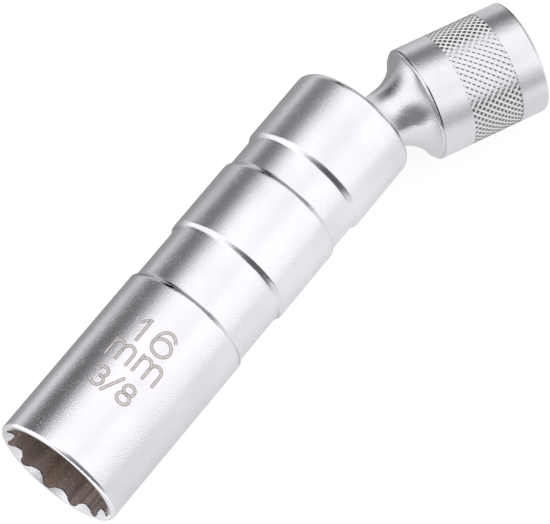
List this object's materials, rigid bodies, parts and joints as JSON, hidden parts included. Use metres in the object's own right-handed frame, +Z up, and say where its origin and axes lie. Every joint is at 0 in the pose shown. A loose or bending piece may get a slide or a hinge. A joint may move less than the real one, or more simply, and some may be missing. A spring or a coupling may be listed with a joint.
{
  "type": "spark plug socket",
  "caption": "Thin-wall spark plug socket with a star-pointed mouth, magnet-held bore and a knurled square-drive head on a swivelling ball joint, lying on its side.",
  "frame": {"origin": "centre of the plug mouth, where the barrel axis meets the mouth's end face", "axes": "+X along the barrel axis from the mouth to the drive head, +Z up from the surface the socket lies on, +Y to the side away from the swung head"},
  "size_m": [0.0989, 0.0313, 0.0206],
  "materials": {
    "satin_chrome": "satin",
    "magnet": "dull nickel",
    "spring_steel": "bright drawn"
  },
  "bodies": {
    "barrel": {"socket_barrel": "satin_chrome", "plug_magnet": "magnet", "retaining_ring": "spring_steel"},
    "spring": {"joint_spring": "spring_steel"},
    "head": {"drive_swivel": "satin_chrome"}
  },
  "joints": [
    {"name": "dip", "type": "hinge", "parent": "barrel", "child": "spring", "pos_m": [0.0664, 0, 0], "axis": [0, 1, 0], "range_deg": [-17.64, 12.36], "deforming": ["joint_spring"]},
    {"name": "swing", "type": "hinge", "parent": "spring", "child": "head", "pos_m": [0.0664, 0, 0], "axis": [0.046, 0, 0.9989], "range_deg": [-1.8, 50.2], "deforming": ["joint_spring"]}
  ]
}
